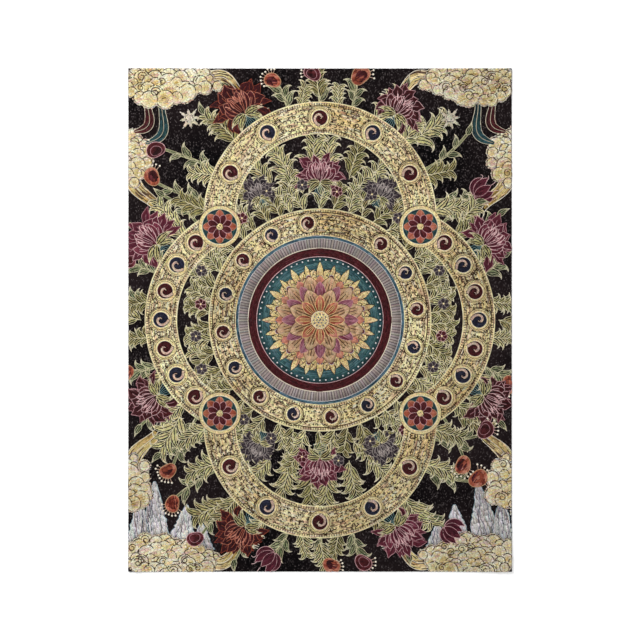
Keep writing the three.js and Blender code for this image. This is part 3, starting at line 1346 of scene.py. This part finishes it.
def tie_knots(bundle, chart):
    """Tie the knots that nothing covers, each a low dome."""
    around = turned(360 * np.arange(KNOT_SIDES) / KNOT_SIDES)
    follow = np.roll(np.arange(KNOT_SIDES), -1)
    first, second = 1 + np.arange(KNOT_SIDES), 1 + KNOT_SIDES + np.arange(KNOT_SIDES)
    top = 1 + 2 * KNOT_SIDES
    walls = np.column_stack([first, first[follow], second[follow], second])
    caps = np.concatenate([
        np.column_stack([np.zeros(KNOT_SIDES, int), first[follow], first]),
        np.column_stack([second, second[follow], np.full(KNOT_SIDES, top)]),
    ])
    for knot in chart.knots:
        found = chart.look(np.array([knot.place]))[0]
        if not 0 <= found <= knot.drawn_after:
            continue
        ground = cloth_top(np.array([knot.place]))[0]
        ring = knot.place + knot.radius * around
        crown = knot.place + knot.radius * 0.72 * around
        places = np.concatenate([[knot.place], ring, crown, [knot.place]])
        rise = np.concatenate([[-0.1], np.full(KNOT_SIDES, -0.1), np.full(KNOT_SIDES, 0.75), [1.0]])
        points = np.column_stack([places.real, places.imag, ground + rise])
        colours = np.repeat(dyed(knot.thread, np.array([knot.shade])), len(points), axis=0)
        coords = np.column_stack([places.real, places.imag]) - (knot.place.real, knot.place.imag)
        bundle.add(points, colours, coords, (walls, caps))


# ---------------------------------------------------------------- materials


def add(tree, kind, inputs=None, **settings):
    """Add a node. An input takes a value, another node's first output, or any output given."""
    made = tree.nodes.new(kind)
    for name, value in settings.items():
        setattr(made, name, value)
    for name, value in (inputs or {}).items():
        if isinstance(value, bpy.types.Node):
            value = value.outputs[0]
        if isinstance(value, bpy.types.NodeSocket):
            tree.links.new(value, made.inputs[name])
        else:
            made.inputs[name].default_value = value
    return made


def new_material(name):
    """An empty node material. Returns it, its tree, and the socket for its surface."""
    material = bpy.data.materials.new(name)
    material.use_nodes = True
    tree = material.node_tree
    tree.nodes.clear()
    output = add(tree, "ShaderNodeOutputMaterial")
    return material, tree, output.inputs["Surface"]


def plainly_seen(tree):
    """1 for what is seen straight on, in a reflection or through glass; 0 for what lights the rest."""
    rays = add(tree, "ShaderNodeLightPath")
    seen = rays.outputs["Is Camera Ray"]
    for kind in ("Is Glossy Ray", "Is Transmission Ray"):
        seen = add(tree, "ShaderNodeMath", {0: seen, 1: rays.outputs[kind]}, operation="MAXIMUM")
    return seen


FIBRE_RELIEF = 0.00005  # how far the fibres of a thread stand up, in metres
LINT_SIZE = 0.0022  # the size of the lighter and darker places along a thread, in metres


def thread_material(name, roughness, gloss, metallic, filament, twist, depth):
    """A dyed thread: its colour is on its mesh, and its fibres run along it or twist round it."""
    material, tree, surface = new_material(name)
    dye = add(tree, "ShaderNodeAttribute", attribute_name="thread_colour")
    coords = add(tree, "ShaderNodeUVMap", uv_map="along_thread")
    parts = add(tree, "ShaderNodeSeparateXYZ", {"Vector": coords})
    along = add(tree, "ShaderNodeMath", {0: parts.outputs["X"], 1: twist}, operation="MULTIPLY")
    across = add(tree, "ShaderNodeMath", {0: parts.outputs["Y"], 1: 1 / filament}, operation="MULTIPLY")
    phase = add(tree, "ShaderNodeMath", {0: along, 1: across}, operation="ADD")
    turns = add(tree, "ShaderNodeMath", {0: phase, 1: 2 * np.pi}, operation="MULTIPLY")
    fibres = add(tree, "ShaderNodeMath", {0: turns}, operation="SINE")
    relief = {"Height": fibres, "Strength": depth, "Distance": FIBRE_RELIEF}
    bump = add(tree, "ShaderNodeBump", relief)
    place = add(tree, "ShaderNodeTexCoord")
    speckle = {"Vector": place.outputs["Object"], "Scale": 1 / LINT_SIZE, "Detail": 3.0}
    lint = add(tree, "ShaderNodeTexNoise", speckle)
    tone = add(tree, "ShaderNodeMapRange", {0: lint, 1: 0.3, 2: 0.7, 3: 0.86, 4: 1.12})
    worn = add(tree, "ShaderNodeVectorMath", {0: dye, "Scale": tone}, operation="SCALE")
    shader = add(
        tree,
        "ShaderNodeBsdfPrincipled",
        {
            "Base Color": worn,
            "Roughness": roughness,
            "Metallic": metallic,
            "Specular IOR Level": gloss,
            "Normal": bump,
        },
    )
    tree.links.new(shader.outputs[0], surface)
    return material


@functools.cache
def floss_silk():
    """Untwisted silk floss: fine fibres side by side give it a soft, even lustre."""
    return thread_material(
        "floss_silk", roughness=0.5, gloss=0.15, metallic=0.0, filament=0.22, twist=0.0, depth=0.35
    )


@functools.cache
def gilt_paper_thread():
    """Gilt paper wound on silk: its slanting turns break the shine of the metal into small glints."""
    return thread_material(
        "gilt_paper_thread", roughness=0.42, gloss=0.4, metallic=0.25, filament=0.9, twist=1.6, depth=0.5
    )


@functools.cache
def twisted_silk_cord():
    """Two plies of silk twisted together: its slanting turns look like a fine rope."""
    return thread_material(
        "twisted_silk_cord", roughness=0.6, gloss=0.1, metallic=0.0, filament=1.1, twist=1.1, depth=0.6
    )


WEAVE_RELIEF = 0.0002  # how far one yarn stands over the next, in metres
SLUB_SHAPE = 0.8  # a slub's width, as a share of its length
SLUB_RARITY = 12.0  # the higher this is, the fewer the slubs
WEAR_SCALE = 9.0  # patches of wear to the metre


def plain_weave_cotton(ground):
    """Black cotton in plain weave: matt, with paler slubs. Its 0.4 mm yarns are drawn coarser."""
    material, tree, surface = new_material("plain_weave_cotton")
    place = add(tree, "ShaderNodeTexCoord")
    parts = add(tree, "ShaderNodeSeparateXYZ", {"Vector": place.outputs["Object"]})
    per_yarn = np.pi / ground.spacing
    waves = []
    for axis in ("X", "Y"):
        angle = add(tree, "ShaderNodeMath", {0: parts.outputs[axis], 1: per_yarn}, operation="MULTIPLY")
        waves.append(add(tree, "ShaderNodeMath", {0: angle}, operation="SINE"))
    crossing = add(tree, "ShaderNodeMath", {0: waves[0], 1: waves[1]}, operation="MULTIPLY")
    over = add(tree, "ShaderNodeMath", {0: crossing, 1: 0.0}, operation="GREATER_THAN")
    ribs = [add(tree, "ShaderNodeMath", {0: wave}, operation="ABSOLUTE") for wave in waves]
    height = add(tree, "ShaderNodeMix", {0: over, 2: ribs[0], 3: ribs[1]})
    relief = {"Height": height, "Strength": 0.5, "Distance": WEAVE_RELIEF}
    bump = add(tree, "ShaderNodeBump", relief)
    cells = (1 / ground.spacing, SLUB_SHAPE / ground.spacing, 0)
    pick = add(tree, "ShaderNodeVectorMath", {0: place.outputs["Object"], 1: cells}, operation="MULTIPLY")
    pick = add(tree, "ShaderNodeVectorMath", {0: pick}, operation="FLOOR")
    chance = add(tree, "ShaderNodeTexWhiteNoise", {"Vector": pick}, noise_dimensions="2D")
    pale = add(tree, "ShaderNodeMath", {0: chance, 1: SLUB_RARITY}, operation="POWER")
    patches = {"Vector": place.outputs["Object"], "Scale": WEAR_SCALE, "Detail": 3.0}
    wear = add(tree, "ShaderNodeTexNoise", patches)
    fading = add(tree, "ShaderNodeMapRange", {0: wear, 1: 0.35, 2: 0.65})
    worn = {0: fading, 6: (*ground.colour, 1), 7: (*ground.faded, 1)}
    yarn = add(tree, "ShaderNodeMix", worn, data_type="RGBA")
    slubbed = {0: pale, 6: yarn.outputs[2], 7: (*ground.slub, 1)}
    cotton = add(tree, "ShaderNodeMix", slubbed, data_type="RGBA")
    floats = add(tree, "ShaderNodeAttribute", attribute_name="back_floats")
    sewn = {0: floats.outputs["Alpha"], 6: cotton.outputs[2], 7: floats}
    backed = add(tree, "ShaderNodeMix", sewn, data_type="RGBA")
    shader = add(
        tree,
        "ShaderNodeBsdfPrincipled",
        {
            "Base Color": backed.outputs[2],
            "Roughness": 0.9,
            "Specular IOR Level": 0.02,
            "Normal": bump,
        },
    )
    tree.links.new(shader.outputs[0], surface)
    return material


# ---------------------------------------------------------------- operators


def stitched_piece(context, group, name, material=floss_silk):
    """Fill every shape of one group and join its stitches into a piece."""
    chart = drawn_chart()
    sizes = context.scene.thangka_sizes
    bundle = Bundle()
    for number, shape in enumerate(chart.shapes):
        if shape is not None and shape.piece == group:
            fill_shape(bundle, chart, number, sizes)
    bundle.build(name, material())


class THANGKA_OT_medallion(bpy.types.Operator):
    """Work the round middle in silk: rays, border, palmettes and lotus"""

    bl_idname = "thangka.medallion"
    bl_label = "Medallion"

    def execute(self, context):
        stitched_piece(context, "medallion", "medallion_stitches")
        return {"FINISHED"}


class THANGKA_OT_gold_bands(bpy.types.Operator):
    """Lay the gold bands and the collars of their bosses in gilt thread"""

    bl_idname = "thangka.gold_bands"
    bl_label = "Gold Bands"

    def execute(self, context):
        stitched_piece(context, "bands", "gold_band_threads", gilt_paper_thread)
        return {"FINISHED"}


class THANGKA_OT_bosses(bpy.types.Operator):
    """Work the bosses on the gold bands and the rosettes between them"""

    bl_idname = "thangka.bosses"
    bl_label = "Bosses"

    def execute(self, context):
        stitched_piece(context, "bosses", "boss_stitches")
        return {"FINISHED"}


class THANGKA_OT_leaves(bpy.types.Operator):
    """Work the plumes, stalks and leaves outside the gold bands in silk"""

    bl_idname = "thangka.leaves"
    bl_label = "Leaves"

    def execute(self, context):
        stitched_piece(context, "leaves", "leaf_stitches")
        return {"FINISHED"}


class THANGKA_OT_fronds(bpy.types.Operator):
    """Work the small plumes between the gold bands in silk"""

    bl_idname = "thangka.fronds"
    bl_label = "Fronds"

    def execute(self, context):
        stitched_piece(context, "fronds", "frond_stitches")
        return {"FINISHED"}


class THANGKA_OT_flowers(bpy.types.Operator):
    """Work the flowers and the ribbons in silk"""

    bl_idname = "thangka.flowers"
    bl_label = "Flowers"

    def execute(self, context):
        stitched_piece(context, "flowers", "flower_stitches")
        return {"FINISHED"}


class THANGKA_OT_clouds(bpy.types.Operator):
    """Work the clouds, their tails, the stars and the crags in silk"""

    bl_idname = "thangka.clouds"
    bl_label = "Clouds"

    def execute(self, context):
        stitched_piece(context, "clouds", "cloud_stitches")
        return {"FINISHED"}


class THANGKA_OT_edge_cords(bpy.types.Operator):
    """Couch a fine cord round every shape"""

    bl_idname = "thangka.edge_cords"
    bl_label = "Edge Cords"

    def execute(self, context):
        bundle = Bundle()
        couch_edges(bundle, drawn_chart(), context.scene.thangka_sizes)
        bundle.build("edge_cords", twisted_silk_cord())
        return {"FINISHED"}


class THANGKA_OT_scrolls(bpy.types.Operator):
    """Sew the dark scrolls on the gold and on the clouds"""

    bl_idname = "thangka.scrolls"
    bl_label = "Scrolls"

    def execute(self, context):
        bundle = Bundle()
        sew_lines(bundle, drawn_chart(), context.scene.thangka_sizes, {"scroll"})
        bundle.build("scroll_threads", twisted_silk_cord())
        return {"FINISHED"}


class THANGKA_OT_stems_and_knots(bpy.types.Operator):
    """Sew the stems, ribs and stamens, and tie the knots"""

    bl_idname = "thangka.stems_and_knots"
    bl_label = "Stems and Knots"

    def execute(self, context):
        bundle = Bundle()
        others = set(THREADS) - {"scroll"}
        sew_lines(bundle, drawn_chart(), context.scene.thangka_sizes, others)
        tie_knots(bundle, drawn_chart())
        bundle.build("stem_threads_and_knots", twisted_silk_cord())
        return {"FINISHED"}


CLOTH_SQUARE = 3.2  # the size of the cloth's mesh squares, in millimetres
FLOAT_SHADE = 0.3  # the shade of a thread where it crosses the back
YARN_END_SPACING = 1.25  # from one loose yarn end to the next, in millimetres
YARN_END_HALF = 0.3  # half the width of one, in millimetres


def points_of(mesh):
    """A mesh's points in metres, and their places on the cloth."""
    points = np.zeros(len(mesh.vertices) * 3, np.float32)
    mesh.vertices.foreach_get("co", points)
    points = points.reshape(-1, 3)
    return points, (points[:, 0] + 1j * points[:, 1]) / MM


class THANGKA_OT_ground_cloth(bpy.types.Operator):
    bl_idname = "thangka.ground_cloth"
    bl_label = "Ground Cloth"

    def execute(self, context):
        bpy.ops.object.select_all(action="DESELECT")
        across, up = round(WIDTH / CLOTH_SQUARE), round(LENGTH / CLOTH_SQUARE)
        bpy.ops.mesh.primitive_grid_add(x_subdivisions=across, y_subdivisions=up, size=1)
        cloth = context.object
        cloth.name = cloth.data.name = "ground_cloth"
        cloth.scale = (WIDTH * MM, LENGTH * MM, 1)
        bpy.ops.object.transform_apply(location=False, rotation=False, scale=True)
        points, places = points_of(cloth.data)
        points[:, 2] = cloth_top(places) * MM
        cloth.data.vertices.foreach_set("co", points.ravel())
        body = cloth.modifiers.new("cloth_thickness", "SOLIDIFY")
        body.thickness = CLOTH_THICKNESS * MM
        body.offset = -1
        bpy.ops.object.modifier_apply(modifier=body.name)
        self.show_floats(cloth)
        bpy.ops.object.shade_smooth_by_angle(angle=0.6)
        cloth.data.materials.append(plain_weave_cotton(context.scene.thangka_ground))
        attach(cloth, BODY)
        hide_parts(NODE)
        return {"FINISHED"}

    def show_floats(self, cloth):
        """Colour the underside with what is sewn through it, dulled and broken up as on any back."""
        chart = drawn_chart()
        rng = np.random.default_rng((SEED, 3))
        points, places = points_of(cloth.data)
        found = chart.look(places * JUST_INSIDE)
        tints = np.zeros((len(chart.shapes), 4))
        for number, shape in enumerate(chart.shapes):
            if shape is not None:
                tints[number] = (*dyed(shape.thread, np.array([FLOAT_SHADE]))[0], 1)
        floats = tints[np.maximum(found, 0)]
        below = points[:, 2] / MM < cloth_top(places) - CLOTH_THICKNESS / 2
        floats[:, 3] *= below * rng.uniform(0.2, 0.75, len(floats))
        layer = cloth.data.color_attributes.new("back_floats", type="FLOAT_COLOR", domain="POINT")
        layer.data.foreach_set("color", floats.astype(np.float32).ravel())


class THANGKA_OT_cut_edges(bpy.types.Operator):
    """Let the ends of the cut yarns show along the four edges"""

    bl_idname = "thangka.cut_edges"
    bl_label = "Cut Edges"

    def execute(self, context):
        rng = np.random.default_rng((SEED, 4))
        bundle = Bundle()
        black = np.array(context.scene.thangka_ground.slub) * 0.55
        shares = np.array([-0.9, -0.3, 0.6, 1.0])
        for corner, along, length in (
            (complex(-WIDTH, -LENGTH) / 2, 1, WIDTH),
            (complex(WIDTH, -LENGTH) / 2, 1j, LENGTH),
            (complex(WIDTH, LENGTH) / 2, -1, WIDTH),
            (complex(-WIDTH, LENGTH) / 2, -1j, LENGTH),
        ):
            count = int(length / YARN_END_SPACING)
            out = -1j * along
            roots = corner + along * (np.arange(count) + 0.5) * length / count
            reach = rng.uniform(0.1, 0.75, count)
            lean = rng.normal(0, 0.25, count) * along
            loose = shares * reach[:, None] * (out + lean[:, None])
            places = roots[:, None] + np.where(shares < 0, shares * out, loose)
            middle = cloth_top(places) - CLOTH_THICKNESS * rng.uniform(0.3, 0.75, count)[:, None]
            halves = np.full(places.shape, YARN_END_HALF)
            tints = np.ones((*places.shape, 3)) * black * rng.uniform(0.6, 2.2, count)[:, None, None]
            add_strands(bundle, places, middle - 0.16, middle + 0.26, halves, tints)
        bundle.build("cut_yarn_ends", twisted_silk_cord())
        return {"FINISHED"}


FRAME_SHARE = 0.6  # how much of the picture's width the panel takes up
LENS = 85.0
SENSOR = 36.0
SIGHT = 50.0  # how far the camera sees, in metres
FLOOR_SIZE = 24.0
FLOOR_DROP = 0.0002  # how far the floor lies under the panel, in metres
ROOM_LIGHT = 0.52  # how strongly the white room lights the panel
LAMP_POWER = 22.9
LAMP_SIZE = 0.85
LAMP_PLACE = (-0.75, 0.83, 1.06)


class THANGKA_OT_stage(bpy.types.Operator):
    """Set up the floor, the light and the camera over the panel"""

    bl_idname = "thangka.stage"
    bl_label = "Floor, Light and Camera"

    def execute(self, context):
        scene = context.scene
        scene.view_settings.view_transform = "Standard"
        self.lay_floor()
        self.light(scene)
        camera = bpy.data.cameras.new("camera")
        camera.lens = LENS
        camera.sensor_width = SENSOR
        camera.clip_end = SIGHT
        holder = bpy.data.objects.new("camera", camera)
        scene.collection.objects.link(holder)
        span = WIDTH * MM / FRAME_SHARE
        holder.location = (0, 0, HIGHEST.z + span * LENS / SENSOR)
        scene.camera = holder
        return {"FINISHED"}

    def lay_floor(self):
        """A plain white floor, just under the panel, that goes white where no shadow falls."""
        bpy.ops.object.select_all(action="DESELECT")
        bpy.ops.mesh.primitive_plane_add(size=FLOOR_SIZE, location=(0, 0, -FLOOR_DROP))
        floor = bpy.context.object
        floor.name = "floor"
        material, tree, surface = new_material("white_painted_board")
        place = add(tree, "ShaderNodeTexCoord")
        away = add(tree, "ShaderNodeVectorMath", {0: place.outputs["Object"]}, operation="LENGTH")
        # It glows from 0.32 at half a metre from the middle to 0.62 at one and a half.
        rise = {0: away.outputs["Value"], 1: 0.5, 2: 1.5, 3: 0.32, 4: 0.62}
        level = add(tree, "ShaderNodeMapRange", rise)
        glow = add(tree, "ShaderNodeMath", {0: plainly_seen(tree), 1: level}, operation="MULTIPLY")
        paint = add(
            tree,
            "ShaderNodeBsdfPrincipled",
            {
                "Base Color": (0.9, 0.9, 0.9, 1),
                "Roughness": 0.9,
                "Specular IOR Level": 0.1,
                "Emission Color": (1, 1, 1, 1),
                "Emission Strength": glow,
            },
        )
        tree.links.new(paint.outputs[0], surface)
        floor.data.materials.append(material)

    def light(self, scene):
        """A soft white room, and one large soft lamp up to the left."""
        world = bpy.data.worlds.new("soft_room")
        world.use_nodes = True
        tree = world.node_tree
        tree.nodes.clear()
        level = add(tree, "ShaderNodeMix", {0: plainly_seen(tree), 2: ROOM_LIGHT, 3: 1.0})
        room = add(tree, "ShaderNodeBackground", {"Strength": level, "Color": (1, 1, 1, 1)})
        add(tree, "ShaderNodeOutputWorld", {"Surface": room})
        scene.world = world
        lamp = bpy.data.lights.new("soft_lamp", "AREA")
        lamp.energy = LAMP_POWER
        lamp.size = LAMP_SIZE
        holder = bpy.data.objects.new("soft_lamp", lamp)
        holder.location = LAMP_PLACE
        holder.rotation_euler = holder.location.to_track_quat("Z", "Y").to_euler()
        scene.collection.objects.link(holder)


class THANGKA_PT_panel(bpy.types.Panel):
    """The steps of making the thangka, in order"""

    bl_label = "Embroidered Thangka"
    bl_idname = "THANGKA_PT_panel"
    bl_space_type = "VIEW_3D"
    bl_region_type = "UI"
    bl_category = "Thangka"

    def draw(self, context):
        for title, group in (
            ("Threads", context.scene.thangka_sizes),
            ("Ground", context.scene.thangka_ground),
            ("Colours", context.scene.thangka_colours),
        ):
            box = self.layout.box()
            box.label(text=title)
            for name in type(group).__annotations__:
                box.prop(group, name)
        for step in STEPS:
            self.layout.operator(step.bl_idname)


STEPS = (
    THANGKA_OT_medallion,
    THANGKA_OT_gold_bands,
    THANGKA_OT_bosses,
    THANGKA_OT_leaves,
    THANGKA_OT_fronds,
    THANGKA_OT_flowers,
    THANGKA_OT_clouds,
    THANGKA_OT_edge_cords,
    THANGKA_OT_scrolls,
    THANGKA_OT_stems_and_knots,
    THANGKA_OT_cut_edges,
    THANGKA_OT_ground_cloth,
    THANGKA_OT_stage,
)
CLASSES = (ThreadSizes, ThreadColours, GroundCloth, *STEPS, THANGKA_PT_panel)


def register():
    """Register the classes and give the scene their settings."""
    for cls in CLASSES:
        bpy.utils.register_class(cls)
    bpy.types.Scene.thangka_sizes = bpy.props.PointerProperty(type=ThreadSizes)
    bpy.types.Scene.thangka_colours = bpy.props.PointerProperty(type=ThreadColours)
    bpy.types.Scene.thangka_ground = bpy.props.PointerProperty(type=GroundCloth)


def unregister():
    """Take the settings and the classes away again."""
    del bpy.types.Scene.thangka_sizes
    del bpy.types.Scene.thangka_colours
    del bpy.types.Scene.thangka_ground
    for cls in reversed(CLASSES):
        bpy.utils.unregister_class(cls)


def main():
    """Make every piece in order."""
    register()
    for step in STEPS:
        area, name = step.bl_idname.split(".")
        getattr(getattr(bpy.ops, area), name)()


if __name__ == "__main__":
    main()
